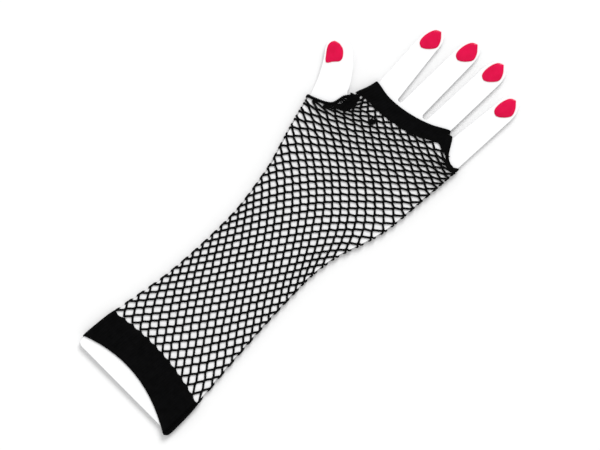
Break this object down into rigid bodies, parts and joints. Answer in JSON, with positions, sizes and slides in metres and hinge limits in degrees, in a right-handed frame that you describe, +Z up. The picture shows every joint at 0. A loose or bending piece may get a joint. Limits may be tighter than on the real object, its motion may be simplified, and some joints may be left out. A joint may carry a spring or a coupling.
{
  "type": "fingerless fishnet gauntlet glove on a display hand",
  "caption": "Fingerless elbow-length fishnet glove with rib-knit arm and knuckle bands and a thumb hole, on a flat white display hand with crimson nails.",
  "frame": {"origin": "under the middle of the set's outline, on the surface that it lies on", "axes": "+Y along the arm, from the elbow to the fingertips; +X towards the little finger; +Z up, out of the back of the hand"},
  "size_m": [0.1285, 0.3522, 0.0061],
  "materials": {
    "net_knit": "matt black knitted net",
    "rib_knit": "matt black rib knit",
    "board_white": "smooth matt white board",
    "nail_crimson": "glossy crimson"
  },
  "bodies": {
    "glove": {"net_tube": "net_knit", "arm_band": "rib_knit", "arm_band_seam": "rib_knit", "knuckle_band": "rib_knit", "little_finger_edging": "rib_knit", "thumb_edging": "rib_knit", "thumb_crotch_tack": "rib_knit"},
    "display_hand": {"hand_form": "board_white", "thumb_nail": "nail_crimson", "index_nail": "nail_crimson", "middle_nail": "nail_crimson", "ring_nail": "nail_crimson", "little_nail": "nail_crimson"}
  },
  "joints": [
    {"name": "hand_withdrawal", "type": "slide", "parent": "glove", "child": "display_hand", "axis": [0, -1, 0], "range_m": [0, 0.36], "deforming": ["net_tube", "arm_band", "arm_band_seam", "knuckle_band", "little_finger_edging", "thumb_edging", "thumb_crotch_tack"]}
  ]
}
